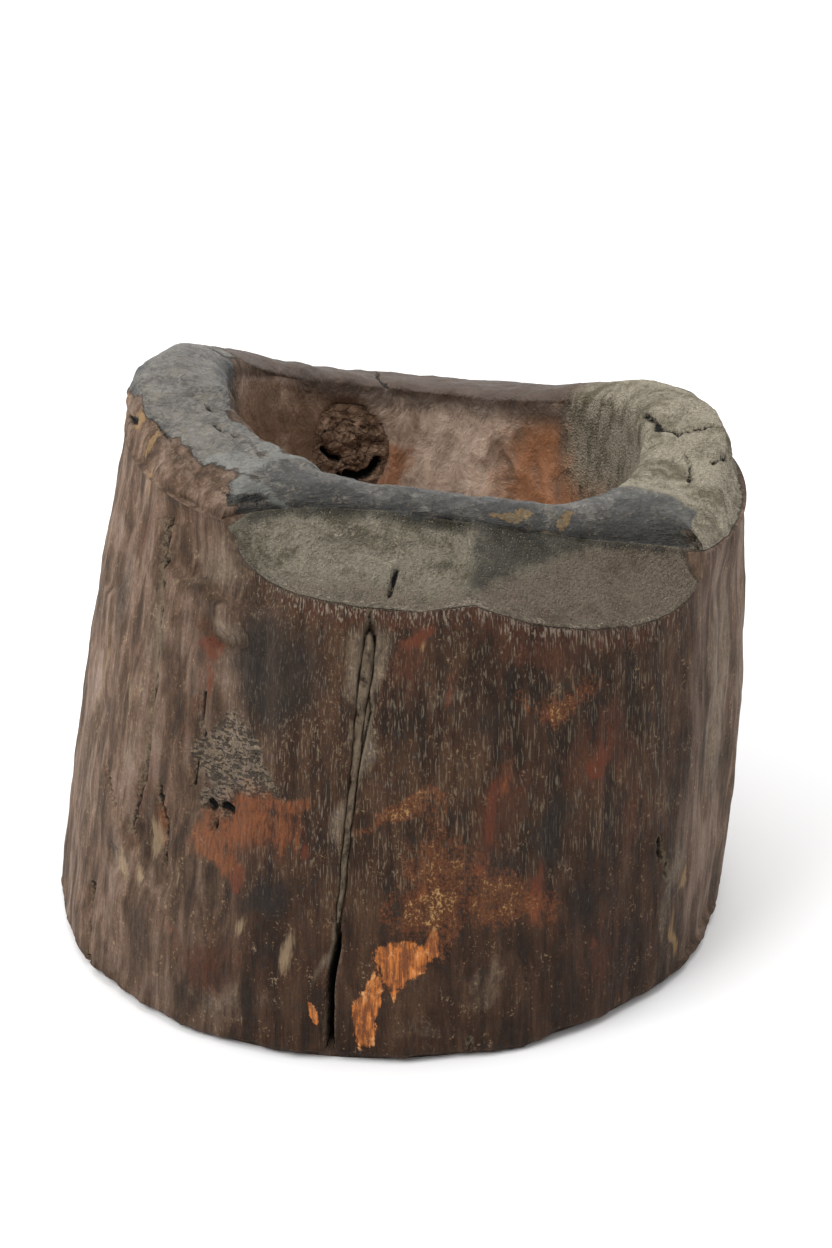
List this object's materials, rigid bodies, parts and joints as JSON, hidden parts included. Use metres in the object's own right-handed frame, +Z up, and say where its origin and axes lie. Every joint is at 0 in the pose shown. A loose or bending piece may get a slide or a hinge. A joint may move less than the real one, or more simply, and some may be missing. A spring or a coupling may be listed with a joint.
{
  "type": "wooden mortar and pestle",
  "caption": "Rough hand-carved log mortar with a saddle-shaped rim, a round-bottomed bowl, a split front wall and a short waisted pestle.",
  "frame": {"origin": "middle of the block's underside, on the table", "axes": "+Z up out of the bowl, -Y the front with the two adze cuts and the split, +X the right"},
  "size_m": [0.2014, 0.2176, 0.1625],
  "materials": {
    "aged_wood": "worn, part polished, part dusty",
    "knot_wood": "dry and crumbly",
    "packed_dust": "matt dust and fibre",
    "pestle_wood": "smooth from use"
  },
  "bodies": {
    "mortar": {"mortar_block": "aged_wood", "bowl_knot": "knot_wood", "split_filling": "packed_dust"},
    "pestle": {"pestle": "pestle_wood"}
  },
  "joints": [
    {"name": "pestle_lift", "type": "slide", "parent": "mortar", "child": "pestle", "axis": [0, 0, 1], "range_m": [0, 0.125]}
  ]
}
